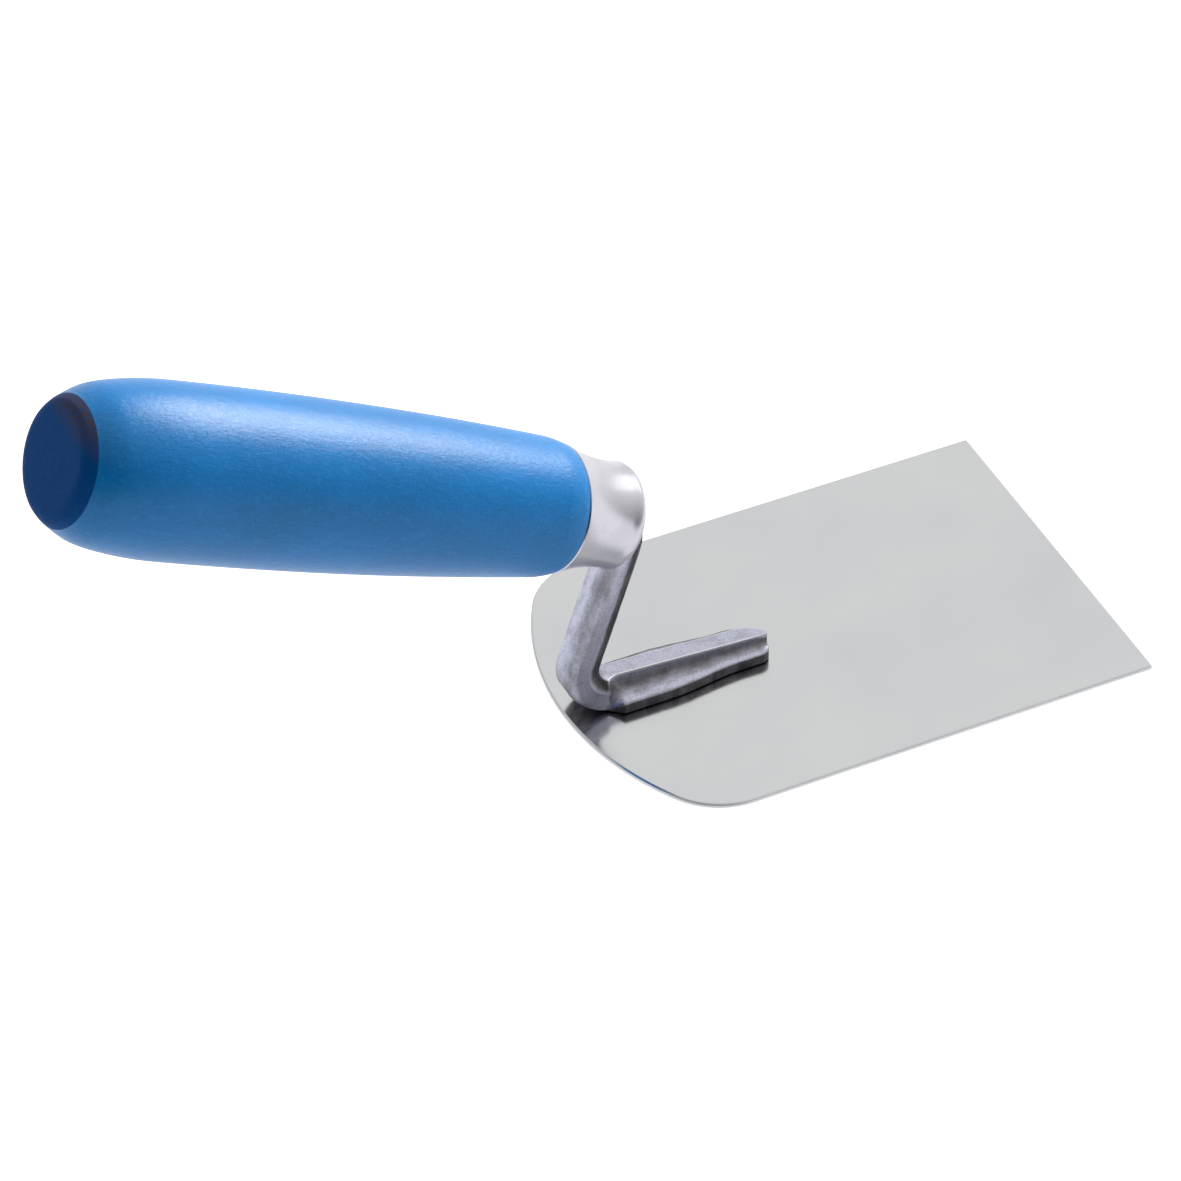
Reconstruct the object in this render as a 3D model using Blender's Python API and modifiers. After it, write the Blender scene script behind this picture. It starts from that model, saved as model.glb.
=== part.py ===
"""A plasterer's gauging trowel with a blue turned handle, modelled at real size in metres.

It comes apart as: a flat steel blade, a forged shank (foot, neck and tang in one bar), three weld
nuggets that hold the foot to the blade, a steel ferrule and a turned wooden handle. X runs to the
toe of the blade and Z up. The origin is on the blade's underside, at the middle of its length.
"""

import math

import bmesh
import bpy
from mathutils import Matrix, Vector

MM = 0.001
OBJECT_NAME = "gauging_trowel"

# The space left between pieces that touch.
GAP = 0.3 * MM

# Blade: one flat plate, square across the toe and arched at the heel.
BLADE_LENGTH = 120.0 * MM
BLADE_TOE_WIDTH = 84.5 * MM
BLADE_HEEL_WIDTH = 85.7 * MM
BLADE_THICKNESS = 1.0 * MM
HEEL_ARCH_RADIUS = 66.3 * MM
HEEL_CORNER_RADIUS = 17.1 * MM

# Foot: the rail-like end of the shank that lies on the blade.
FOOT_LENGTH = 46.6 * MM
FOOT_REAR_HEIGHT = 7.2 * MM
FOOT_TIP_HEIGHT = 4.8 * MM
CAP_HALF_WIDTH = 2.1 * MM
CAP_DEPTH = 0.7 * MM
FLANGE_REAR_HALF_WIDTH = 7.1 * MM
FLANGE_TIP_HALF_WIDTH = 5.4 * MM
FLANGE_THICKNESS = 2.3 * MM
FLANGE_TAPER_START = 12.2 * MM
FLANGE_TAPER_END = 30.2 * MM
COVE_END_LENGTH = 3.0 * MM
TIP_ROUNDING = 6.8 * MM
TIP_NEAR_ROUNDING = 2.6 * MM

# Neck: the bar that rises from the heel of the foot to the ferrule.
NECK_SETBACK = 1.2 * MM
NECK_DEPTH = 8.4 * MM
NECK_WIDTH = 7.6 * MM
NECK_FRONT_WIDTH = 4.8 * MM
NECK_BACK_WIDTH = 2.0 * MM
NECK_BACK_ROUNDING = 2.8 * MM
RIDGE_FROM_BACK = 0.62
HEEL_BLOCK_WIDTH = 9.8 * MM
HEEL_BLOCK_TOP_WIDTH = 6.8 * MM
HEEL_BLOCK_BACK_WIDTH = 8.6 * MM
HEEL_BLOCK_ROUNDING = 1.0 * MM
HEEL_BEND_RADIUS = 6.5 * MM
NECK_LEAN = math.radians(18.0)
SHOULDER_HEIGHT = 49.56 * MM
SHOULDER_RADIUS = 8.8 * MM

# Tang: the spike that is driven into the handle.
TANG_LENGTH = 74.0 * MM
TANG_WIDTH = 7.0 * MM
TANG_TIP_WIDTH = 3.0 * MM
TANG_BEVEL = 0.6 * MM
BORE_TIP_LENGTH = 2.0 * MM

# Handle: a turned grip, measured from its seam with the ferrule to the butt.
HANDLE_RISE = math.radians(25.77)
HANDLE_SETBACK = 19.7 * MM
HANDLE_LENGTH = 121.6 * MM
HANDLE_SWELL_RADIUS = 18.35 * MM
HANDLE_SWELL_FROM_BUTT = 25.5 * MM
HANDLE_FRONT_RADIUS = 14.92 * MM
HANDLE_TAPER_POWER = 2.1
HANDLE_SEAM_RADIUS = 13.05 * MM
FRONT_SHOULDER_LENGTH = 5.9 * MM
FRONT_SHOULDER_FULLNESS = 1.4
BUTT_SIDE_RADIUS = 16.8 * MM
BUTT_CURVE_POWER = 2.0
BUTT_FACE_RADIUS = 11.5 * MM
BUTT_SHOULDER_LENGTH = 9.2 * MM
BUTT_SHOULDER_FULLNESS = 1.3
TENON_LENGTH = 8.0 * MM

# Ferrule: a pressed cup over the front of the handle. The shares are of its length, from the rim.
FERRULE_LENGTH = 18.5 * MM
FERRULE_RIM_RADIUS = 13.7 * MM
FERRULE_WAIST_RADIUS = 11.2 * MM
FERRULE_WAIST_SHARE = 0.697
FERRULE_BULGE_RADIUS = 11.35 * MM
FERRULE_BULGE_SHARE = 0.8
FERRULE_DOME_FULLNESS = 2.1
FERRULE_WALL = 0.9 * MM
FERRULE_DROOP = 0.02
NECK_OPENING_CLEARANCE = 1.0 * MM

# Weld nuggets between the foot and the blade.
WELD_COUNT = 3
WELD_POCKET_RADIUS = 2.8 * MM
WELD_POCKET_DEPTH = 0.5 * MM
WELD_FIRST_FROM_TIP = 9.0 * MM
WELD_PITCH = 12.0 * MM

# Facets round a turned piece, and along one of its curves.
TURNED_STEPS = 40
CURVE_STEPS = 8
NECK_STEPS = 4
EDGE_ROUNDING = 0.25 * MM

BLADE_TOP = BLADE_THICKNESS
FOOT_BOTTOM = BLADE_TOP + GAP
HEEL_X = -BLADE_LENGTH / 2
NECK_X = HEEL_X + NECK_SETBACK
FOOT_CENTRE_Z = FOOT_BOTTOM + FOOT_REAR_HEIGHT / 2
FOOT_TIP_X = NECK_X + FOOT_LENGTH
FERRULE_WAIST_FROM_RIM = FERRULE_WAIST_SHARE * FERRULE_LENGTH
FERRULE_BULGE_FROM_RIM = FERRULE_BULGE_SHARE * FERRULE_LENGTH


# ---------------------------------------------------------------- helpers


def collection_named(name):
    made = bpy.data.collections.new(name)
    bpy.context.scene.collection.children.link(made)
    return made


def material(name, colour, roughness, metallic):
    made = bpy.data.materials.new(name)
    made.use_nodes = True
    shader = made.node_tree.nodes["Principled BSDF"]
    shader.inputs["Base Color"].default_value = (*colour, 1.0)
    shader.inputs["Roughness"].default_value = roughness
    shader.inputs["Metallic"].default_value = metallic
    made.diffuse_color = (*colour, 1.0)
    return made


def new_object(name, mesh, collection, finish=None):
    made = bpy.data.objects.new(name, mesh)
    collection.objects.link(made)
    if finish:
        mesh.materials.append(finish)
    return made


def mesh_of(shape, name):
    """The shape's mesh with its modifiers applied and its loose seams welded."""
    graph = bpy.context.evaluated_depsgraph_get()
    made = bpy.data.meshes.new_from_object(shape.evaluated_get(graph))
    made.name = name
    weld = bmesh.new()
    weld.from_mesh(made)
    bmesh.ops.remove_doubles(weld, verts=weld.verts, dist=0.001 * MM)
    weld.to_mesh(made)
    weld.free()
    return made


def as_mesh(shape):
    """Turns a curve or a modified object into a plain mesh object of the same name and place."""
    name, place, homes = shape.name, shape.matrix_world.copy(), list(shape.users_collection)
    made = mesh_of(shape, name)
    bpy.data.objects.remove(shape)
    plain = bpy.data.objects.new(name, made)
    homes[0].objects.link(plain)
    plain.matrix_world = place
    return plain


def smooth(mesh, angle=35.0):
    mesh.shade_smooth()
    mesh.set_sharp_from_angle(angle=math.radians(angle))


def cut(target, cutter):
    difference = target.modifiers.new("cut_" + cutter.name, "BOOLEAN")
    difference.operation = "DIFFERENCE"
    difference.solver = "EXACT"
    difference.object = cutter


def hide_cutter(cutter):
    cutter.hide_render = True
    cutter.display_type = "WIRE"


def turned(name, profile, collection, finish=None):
    """A turned shape: profile is (radius, height) pairs, which run down its outer side."""
    mesh = bpy.data.meshes.new(name)
    points = [(radius, 0.0, height) for radius, height in profile]
    mesh.from_pydata(points, [(i, i + 1) for i in range(len(points) - 1)], [])
    made = new_object(name, mesh, collection, finish)
    screw = made.modifiers.new("turn", "SCREW")
    screw.axis = "Z"
    screw.steps = TURNED_STEPS
    screw.render_steps = TURNED_STEPS
    screw.use_merge_vertices = True
    screw.merge_threshold = 0.01 * MM
    return made


def blend(first, last, share):
    return first + (last - first) * share


def ease(value, first, last):
    """Rises smoothly from 0 at first to 1 at last."""
    share = min(max((value - first) / (last - first), 0.0), 1.0)
    return share * share * (3.0 - 2.0 * share)


def rounded_end(value, start, end, fullness=2.0):
    """Falls from 1 at start to 0 at end, as a quarter circle does at a fullness of 2."""
    share = min(max((value - start) / (end - start), 0.0), 1.0)
    return (1.0 - share**fullness) ** (1.0 / fullness)


# ---------------------------------------------------------------- blade


def arc(centre, radius, first, last, steps):
    """Points on an arc in the plane, both ends included; the angles are in radians."""
    angles = [blend(first, last, i / steps) for i in range(steps + 1)]
    return [(centre[0] + radius * math.cos(a), centre[1] + radius * math.sin(a)) for a in angles]


def blade_outline():
    """Half of the outline, from the toe corner along the +Y side to the heel's tip."""
    side_slope = (BLADE_HEEL_WIDTH - BLADE_TOE_WIDTH) / 2 / BLADE_LENGTH
    side_turn = math.atan(side_slope)
    arch_x = HEEL_X + HEEL_ARCH_RADIUS
    reach = HEEL_ARCH_RADIUS - HEEL_CORNER_RADIUS
    # The corner's centre is as far from the tapering side as from the arch: its own radius.
    side_at_arch = BLADE_TOE_WIDTH / 2 + side_slope * (BLADE_LENGTH / 2 - arch_x)
    offset = side_at_arch * math.cos(side_turn) - HEEL_CORNER_RADIUS
    turn = math.pi - math.asin(offset / reach) - side_turn
    centre = (arch_x + reach * math.cos(turn), reach * math.sin(turn))
    corner = arc(centre, HEEL_CORNER_RADIUS, math.pi / 2 - side_turn, turn, 10)
    arch = arc((arch_x, 0.0), HEEL_ARCH_RADIUS, turn, math.pi, 14)
    return [(BLADE_LENGTH / 2, BLADE_TOE_WIDTH / 2)] + corner + arch[1:]


def make_blade(collection, finish):
    half = blade_outline()
    outline = half + [(x, -y) for x, y in reversed(half[:-1])]
    curve = bpy.data.curves.new("blade", "CURVE")
    curve.dimensions = "2D"
    curve.fill_mode = "BOTH"
    curve.extrude = BLADE_THICKNESS / 2
    spline = curve.splines.new("POLY")
    spline.points.add(len(outline) - 1)
    for point, (x, y) in zip(spline.points, outline):
        point.co = (x, y, 0.0, 1.0)
    spline.use_cyclic_u = True
    sheet = bpy.data.objects.new("blade", curve)
    collection.objects.link(sheet)
    sheet.location.z = BLADE_THICKNESS / 2
    bpy.context.view_layer.update()
    blade = as_mesh(sheet)
    blade.data.materials.append(finish)
    return blade


# ---------------------------------------------------------------- shank


def filleted(corners, radii):
    """A path of straight runs whose inner corners are arcs: (point, direction) pairs."""
    path = []
    for i, radius in enumerate(radii, start=1):
        before = (corners[i] - corners[i - 1]).normalized()
        after = (corners[i + 1] - corners[i]).normalized()
        turn = math.atan2(before.x * after.y - before.y * after.x, before.dot(after))
        start = corners[i] - before * radius * math.tan(abs(turn) / 2)
        side = Vector((-before.y, before.x)) * math.copysign(radius, turn)
        for step in range(CURVE_STEPS + 1):
            spin = Matrix.Rotation(turn * step / CURVE_STEPS, 2)
            path.append((start + side + spin @ -side, (spin @ before).normalized()))
    return path


def bend_start_x():
    """Where the level foot turns up into the neck."""
    return NECK_X + HEEL_BEND_RADIUS * math.tan((math.radians(90.0) + NECK_LEAN) / 2)


def shoulder_corner():
    """Where the line of the neck meets the handle's axis."""
    return Vector((
        NECK_X + (SHOULDER_HEIGHT - FOOT_CENTRE_Z) * math.tan(NECK_LEAN),
        SHOULDER_HEIGHT,
    ))


def handle_direction():
    """From the shoulder back towards the butt, in the X-Z plane."""
    return Vector((-math.cos(HANDLE_RISE), math.sin(HANDLE_RISE)))


def seam_point():
    """The middle of the seam between the handle and the ferrule."""
    return shoulder_corner() + handle_direction() * HANDLE_SETBACK


def tang_reach():
    """How far the tang runs back from the shoulder corner."""
    return HANDLE_SETBACK + TANG_LENGTH


def half_foot(height, cap, flange):
    """Half a section of the foot, from its top to its bottom: (height, half width) pairs."""
    centre = FOOT_REAR_HEIGHT / 2
    top, bottom = height - centre, -centre
    edge = bottom + FLANGE_THICKNESS
    lip = top - CAP_DEPTH
    points = [(top, cap - EDGE_ROUNDING), (top - EDGE_ROUNDING, cap), (lip, cap)]
    for step in range(1, 6):
        turn = math.radians(90.0) * step / 6
        out = cap + (flange - cap) * (1.0 - math.cos(turn))
        points.append((lip - (lip - edge) * math.sin(turn), out))
    low_edge = [(bottom + EDGE_ROUNDING, flange), (bottom, flange - EDGE_ROUNDING)]
    return points + [(edge, flange)] + low_edge


def half_bar(front, back, front_width, side_width, back_width, back_rounding):
    """Half a section of the bar, from its narrow front to its rounded back."""
    ridge = blend(back, front, RIDGE_FROM_BACK)
    points = [(front, front_width - EDGE_ROUNDING)]
    for share in (0.06, 0.3, 0.65, 1.0):
        points.append((blend(front, ridge, share), blend(front_width, side_width, share)))
    points.append(((ridge + back + back_rounding) / 2, side_width))
    for step in range(5):
        turn = math.radians(90.0) * step / 4
        in_from_side = (side_width - back_width) * (1.0 - math.cos(turn))
        points.append((back + back_rounding * (1.0 - math.sin(turn)), side_width - in_from_side))
    return points


def tip_squeezed(across, along):
    """The tip is ground round: far round on the +Y side and little on the -Y side."""
    far = rounded_end(along, FOOT_TIP_X - TIP_ROUNDING, FOOT_TIP_X)
    near = rounded_end(along, FOOT_TIP_X - TIP_NEAR_ROUNDING, FOOT_TIP_X)
    pivot = -CAP_HALF_WIDTH
    return pivot + (across - pivot) * (far if across > pivot else near)


def ring(half, centre, direction, grow=0.0):
    """Both halves of a section as points in space; direction is the way that the path runs."""
    front = Vector((direction.y, -direction.x))
    points = []
    for side in (1, -1):
        order = half if side == 1 else reversed(half)
        for depth, width in order:
            depth += math.copysign(grow, depth)
            spot = centre + front * depth
            points.append(Vector((spot.x, side * (width + grow), spot.y)))
    return points


def foot_rings():
    """From the tip back to where the cove starts to die out."""
    rings = []
    bend_start = bend_start_x()
    shares = (0.012, 0.045, 0.1, 0.18, 0.3, 0.45, 0.7, 1.0)
    stations = [FOOT_TIP_X - TIP_ROUNDING * share for share in shares]
    last = bend_start + COVE_END_LENGTH / 2
    stations += [blend(stations[-1], last, step / 6) for step in range(1, 7)]
    for x in stations:
        from_rear = x - bend_start
        height = blend(FOOT_REAR_HEIGHT, FOOT_TIP_HEIGHT, from_rear / (FOOT_TIP_X - bend_start))
        taper = ease(from_rear, FLANGE_TAPER_START, FLANGE_TAPER_END)
        flange = blend(FLANGE_REAR_HALF_WIDTH, FLANGE_TIP_HALF_WIDTH, taper)
        points = ring(
            half_foot(height, CAP_HALF_WIDTH, flange),
            Vector((x, FOOT_CENTRE_Z)),
            Vector((-1.0, 0.0)),
        )
        for point in points:
            point.y = tip_squeezed(point.y, x)
        rings.append(points)
    return rings


def bar_section(travel, stops):
    """The bar's half section at a distance along the path, eased between the named stops."""
    for (first_at, first), (last_at, last) in zip(stops, stops[1:]):
        if travel <= last_at:
            share = ease(travel, first_at, last_at)
            return half_bar(*(blend(a, b, share) for a, b in zip(first, last)))
    return half_bar(*stops[-1][1])


def bar_path():
    """The middle line of the bar, from the heel block to the end of the tang."""
    shoulder = shoulder_corner()
    corners = [
        Vector((bend_start_x() + HEEL_BEND_RADIUS, FOOT_CENTRE_Z)),
        Vector((NECK_X, FOOT_CENTRE_Z)),
        shoulder,
        shoulder + handle_direction() * tang_reach(),
    ]
    path = filleted(corners, (HEEL_BEND_RADIUS, SHOULDER_RADIUS))
    (low, direction), (high, _) = path[CURVE_STEPS], path[CURVE_STEPS + 1]
    neck = [(low.lerp(high, step / NECK_STEPS), direction) for step in range(1, NECK_STEPS)]
    path[CURVE_STEPS + 1:CURVE_STEPS + 1] = neck
    for distance in (HANDLE_SETBACK - TENON_LENGTH, HANDLE_SETBACK + TANG_LENGTH / 2, tang_reach()):
        path.append((shoulder + handle_direction() * distance, handle_direction()))
    return path


def square_bar(width, bevel):
    """The sizes that make half_bar a square with bevelled corners."""
    half = width / 2
    return (half, -half, half - bevel, half, half - bevel, bevel)


def bar_rings(grow=0.0, first=0):
    """Sections of the heel block, the neck and the tang; grow makes them larger all round."""
    path = bar_path()
    block = (
        FOOT_REAR_HEIGHT / 2, -FOOT_REAR_HEIGHT / 2, HEEL_BLOCK_TOP_WIDTH / 2,
        HEEL_BLOCK_WIDTH / 2, HEEL_BLOCK_BACK_WIDTH / 2, HEEL_BLOCK_ROUNDING,
    )
    neck = (
        NECK_DEPTH / 2, -NECK_DEPTH / 2, NECK_FRONT_WIDTH / 2,
        NECK_WIDTH / 2, NECK_BACK_WIDTH / 2, NECK_BACK_ROUNDING,
    )
    tang = square_bar(TANG_WIDTH, TANG_BEVEL)
    tip = square_bar(TANG_TIP_WIDTH, TANG_BEVEL / 2)
    travels = [0.0]
    for (before, _), (after, _) in zip(path, path[1:]):
        travels.append(travels[-1] + (after - before).length)
    bend_end = travels[CURVE_STEPS]
    neck_end = travels[-4]
    stops = [
        (0.0, block),
        (bend_end, neck),
        (neck_end, neck),
        (travels[-3], tang),
        (travels[-1], tip),
    ]
    rings = []
    foot = half_foot(FOOT_REAR_HEIGHT, CAP_HALF_WIDTH, FLANGE_REAR_HALF_WIDTH)
    for (centre, direction), travel in list(zip(path, travels))[first:]:
        half = bar_section(travel, stops)
        cove = 1.0 - ease(travel, -COVE_END_LENGTH / 2, COVE_END_LENGTH / 2)
        half = [(blend(a, c, cove), blend(b, d, cove)) for (a, b), (c, d) in zip(half, foot)]
        rings.append(ring(half, centre, direction, grow))
    return rings


def lofted(name, rings):
    """A closed skin through rings of equal point counts, with a flat face at each end."""
    count = len(rings[0])
    points = [point for one in rings for point in one]
    faces = [tuple(range(count))]
    for row in range(len(rings) - 1):
        for i in range(count):
            after = (i + 1) % count
            low, high = row * count, (row + 1) * count
            faces.append((low + after, low + i, high + i, high + after))
    last = (len(rings) - 1) * count
    faces.append(tuple(reversed(range(last, last + count))))
    mesh = bpy.data.meshes.new(name)
    mesh.from_pydata(points, [], faces)
    skin = bmesh.new()
    skin.from_mesh(mesh)
    bmesh.ops.recalc_face_normals(skin, faces=skin.faces)
    skin.to_mesh(mesh)
    skin.free()
    return mesh


def make_shank(collection, finish):
    mesh = lofted("shank", foot_rings() + bar_rings())
    smooth(mesh, 30.0)
    return new_object("shank", mesh, collection, finish)


# ---------------------------------------------------------------- welds


def weld_places():
    first = FOOT_TIP_X - WELD_FIRST_FROM_TIP
    return [first - WELD_PITCH * i for i in range(WELD_COUNT)]


def disc(name, radius, bottom, top, x, collection, finish=None):
    mesh = bpy.data.meshes.new(name)
    shape = bmesh.new()
    bmesh.ops.create_cone(
        shape, cap_ends=True, segments=20, radius1=radius, radius2=radius, depth=top - bottom
    )
    shape.to_mesh(mesh)
    shape.free()
    made = new_object(name, mesh, collection, finish)
    made.location = (x, 0.0, (top + bottom) / 2)
    return made


def make_welds(parts, cutters, blade, shank, finish):
    """Each nugget sits in a shallow pocket in the blade and one in the foot above it."""
    low = BLADE_TOP - WELD_POCKET_DEPTH
    high = FOOT_BOTTOM + WELD_POCKET_DEPTH
    for number, x in enumerate(weld_places(), start=1):
        pocket = disc(f"weld_pocket_{number}", WELD_POCKET_RADIUS, low, high, x, cutters)
        hide_cutter(pocket)
        cut(blade, pocket)
        cut(shank, pocket)
        radius = WELD_POCKET_RADIUS - GAP
        disc(f"weld_nugget_{number}", radius, low + GAP, high - GAP, x, parts, finish)


# ---------------------------------------------------------------- ferrule


def ferrule_outer_radius(from_rim):
    """The rim flares out to meet the handle, a waist follows, then the bulge and the dome."""
    if from_rim <= FERRULE_WAIST_FROM_RIM:
        share = 1.0 - from_rim / FERRULE_WAIST_FROM_RIM
        return FERRULE_WAIST_RADIUS + (FERRULE_RIM_RADIUS - FERRULE_WAIST_RADIUS) * share**2
    if from_rim <= FERRULE_BULGE_FROM_RIM:
        share = ease(from_rim, FERRULE_WAIST_FROM_RIM, FERRULE_BULGE_FROM_RIM)
        return blend(FERRULE_WAIST_RADIUS, FERRULE_BULGE_RADIUS, share)
    fall = rounded_end(from_rim, FERRULE_BULGE_FROM_RIM, FERRULE_LENGTH, FERRULE_DOME_FULLNESS)
    return FERRULE_BULGE_RADIUS * fall


def ferrule_profile():
    """From the inside of the front, up the inner wall to the rim and down the outside."""
    dome = FERRULE_LENGTH - FERRULE_BULGE_FROM_RIM
    angles = [math.radians(90.0) * i / CURVE_STEPS for i in range(CURVE_STEPS + 1)]
    outer, inner = [], []
    for i in range(10):
        from_rim = FERRULE_BULGE_FROM_RIM * i / 10
        radius = ferrule_outer_radius(from_rim)
        outer.append((radius, -GAP - from_rim))
        inner.append((radius - FERRULE_WALL, -GAP - from_rim))
    for angle in angles:
        along = math.sin(angle)
        radius = ferrule_outer_radius(FERRULE_BULGE_FROM_RIM + dome * along)
        outer.append((radius, -GAP - FERRULE_BULGE_FROM_RIM - dome * along))
        inner_share = 1.0 - FERRULE_WALL / FERRULE_BULGE_RADIUS
        inner_depth = FERRULE_BULGE_FROM_RIM + (dome - FERRULE_WALL) * along
        inner.append((radius * inner_share, -GAP - inner_depth))
    return list(reversed(inner)) + outer


def make_ferrule(parts, cutters, seat, finish):
    """The front sits a little low, so the turned cup is sheared towards the blade."""
    cup = turned("ferrule", ferrule_profile(), parts, finish)
    bpy.context.view_layer.update()
    ferrule = as_mesh(cup)
    droop = Matrix.Identity(4)
    droop[0][2] = FERRULE_DROOP
    ferrule.data.transform(droop)
    smooth(ferrule.data)
    ferrule.parent = seat
    envelope = lofted("neck_opening", bar_rings(NECK_OPENING_CLEARANCE, CURVE_STEPS + NECK_STEPS // 2))
    opening = new_object("neck_opening", envelope, cutters)
    hide_cutter(opening)
    cut(ferrule, opening)
    return ferrule


# ---------------------------------------------------------------- handle


def handle_radius(from_seam):
    from_butt = HANDLE_LENGTH - from_seam
    grip_start = FRONT_SHOULDER_LENGTH
    if from_seam < grip_start:
        rise = rounded_end(grip_start - from_seam, 0.0, grip_start, FRONT_SHOULDER_FULLNESS)
        return blend(HANDLE_SEAM_RADIUS, HANDLE_FRONT_RADIUS, rise)
    if from_butt < BUTT_SHOULDER_LENGTH:
        into_shoulder = BUTT_SHOULDER_LENGTH - from_butt
        rise = rounded_end(into_shoulder, 0.0, BUTT_SHOULDER_LENGTH, BUTT_SHOULDER_FULLNESS)
        return blend(BUTT_FACE_RADIUS, BUTT_SIDE_RADIUS, rise)
    if from_butt < HANDLE_SWELL_FROM_BUTT:
        span = HANDLE_SWELL_FROM_BUTT - BUTT_SHOULDER_LENGTH
        fall = (HANDLE_SWELL_FROM_BUTT - from_butt) / span
        return blend(HANDLE_SWELL_RADIUS, BUTT_SIDE_RADIUS, fall**BUTT_CURVE_POWER)
    span = HANDLE_LENGTH - HANDLE_SWELL_FROM_BUTT - grip_start
    fall = (from_butt - HANDLE_SWELL_FROM_BUTT) / span
    return blend(HANDLE_SWELL_RADIUS, HANDLE_FRONT_RADIUS, fall**HANDLE_TAPER_POWER)


def handle_profile():
    """From the middle of the butt down the grip to the tenon, then back up the bore."""
    grip = HANDLE_LENGTH - FRONT_SHOULDER_LENGTH - BUTT_SHOULDER_LENGTH
    angles = [math.radians(90.0) * i / 6 for i in range(7)]
    heights = [HANDLE_LENGTH - BUTT_SHOULDER_LENGTH * (1.0 - math.cos(a)) for a in angles]
    heights += [HANDLE_LENGTH - BUTT_SHOULDER_LENGTH - grip * i / 14 for i in range(1, 14)]
    heights += [FRONT_SHOULDER_LENGTH * (1.0 - math.sin(a)) for a in angles]
    profile = [(0.0, HANDLE_LENGTH)]
    profile += [(handle_radius(height), height) for height in heights]
    # The tenon follows the inner wall of the ferrule, clear of the side that droops.
    for i in range(6):
        depth = TENON_LENGTH * i / 5
        clear = FERRULE_WALL + GAP + FERRULE_DROOP * depth
        profile.append((ferrule_outer_radius(depth) - clear, -depth))
    bore = math.hypot(TANG_WIDTH, TANG_WIDTH) / 2 + GAP
    profile += [(bore, -TENON_LENGTH), (bore, TANG_LENGTH + GAP)]
    return profile + [(0.0, TANG_LENGTH + GAP + BORE_TIP_LENGTH)]


def make_handle(parts, seat, finish):
    wood = turned("handle", handle_profile(), parts, finish)
    bpy.context.view_layer.update()
    handle = as_mesh(wood)
    smooth(handle.data)
    handle.parent = seat
    return handle


def handle_seat(collection):
    """An empty at the seam, whose Z runs back along the handle and whose X is its upper side."""
    seat = bpy.data.objects.new("handle_seat", None)
    collection.objects.link(seat)
    seam = seam_point()
    seat.location = (seam.x, 0.0, seam.y)
    seat.rotation_euler = (0.0, HANDLE_RISE - math.radians(90.0), 0.0)
    return seat


# ---------------------------------------------------------------- the whole


def main():
    for existing in list(bpy.data.objects):
        bpy.data.objects.remove(existing)
    parts = collection_named(OBJECT_NAME)
    cutters = collection_named("cutters")

    blade_steel = material("polished_stainless", (0.62, 0.64, 0.65), 0.16, 1.0)
    forged_steel = material("forged_steel", (0.42, 0.41, 0.45), 0.42, 1.0)
    weld_steel = material("weld_steel", (0.33, 0.33, 0.35), 0.5, 1.0)
    ferrule_steel = material("polished_ferrule", (0.68, 0.67, 0.68), 0.2, 1.0)
    blue_paint = material("blue_painted_wood", (0.02, 0.17, 0.44), 0.38, 0.0)

    blade = make_blade(parts, blade_steel)
    shank = make_shank(parts, forged_steel)
    make_welds(parts, cutters, blade, shank, weld_steel)
    seat = handle_seat(parts)
    make_ferrule(parts, cutters, seat, ferrule_steel)
    make_handle(parts, seat, blue_paint)


main()
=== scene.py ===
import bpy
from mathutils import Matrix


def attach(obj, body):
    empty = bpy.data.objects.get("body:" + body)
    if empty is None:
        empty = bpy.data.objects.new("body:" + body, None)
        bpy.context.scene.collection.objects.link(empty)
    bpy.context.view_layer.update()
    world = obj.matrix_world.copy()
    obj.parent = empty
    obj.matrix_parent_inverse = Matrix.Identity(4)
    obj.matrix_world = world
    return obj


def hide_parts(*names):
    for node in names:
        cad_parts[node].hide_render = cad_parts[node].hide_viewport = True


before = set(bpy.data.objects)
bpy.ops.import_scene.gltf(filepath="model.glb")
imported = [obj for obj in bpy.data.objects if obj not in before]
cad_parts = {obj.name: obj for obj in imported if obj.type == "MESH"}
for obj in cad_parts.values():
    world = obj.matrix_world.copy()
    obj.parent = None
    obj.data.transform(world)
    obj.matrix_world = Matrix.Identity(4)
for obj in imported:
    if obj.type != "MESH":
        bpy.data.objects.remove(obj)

"""The looks of a plasterer's gauging trowel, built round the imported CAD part.

Sizes are in millimetres until a mesh is made. X runs to the toe of the blade and Z up, and the
blade lies on the floor. The blade, shank, ferrule and handle are drawn again with finer curves,
rolled edges and a worked surface. The weld nuggets keep their CAD solids.
"""

import math

import bmesh
import bpy
from mathutils import Matrix, Vector, noise

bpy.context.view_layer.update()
MM = 0.001

# ---------------------------------------------------------------- sizes, in millimetres

# The space that the CAD part leaves between pieces that touch.
GAP = 0.3

# Blade: a sheet with a square toe and an arched heel.
BLADE_LENGTH = 120.0
TOE_WIDTH = 84.5
HEEL_WIDTH = 85.7
BLADE_THICKNESS = 1.0
HEEL_ARCH = 66.3
HEEL_CORNER = 17.1
BLADE_BEVEL = 0.42
BLADE_BURR = 0.12
TOE_EASE = 0.5
# The edge as (moved in, height), from the underside up: a burr's small radius, the ground
# side, then the bevel of the top.
BLADE_EDGE = (
    (BLADE_BURR, 0.0), (0.3 * BLADE_BURR, 0.3 * BLADE_BURR), (0.0, BLADE_BURR),
    (0.0, 0.62), (0.05, 0.74), (BLADE_BEVEL - 0.06, 0.975), (BLADE_BEVEL, BLADE_THICKNESS),
)
TOE_STEPS = 6
SIDE_STEPS = 40
CORNER_STEPS = 40
ARCH_STEPS = 60

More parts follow.
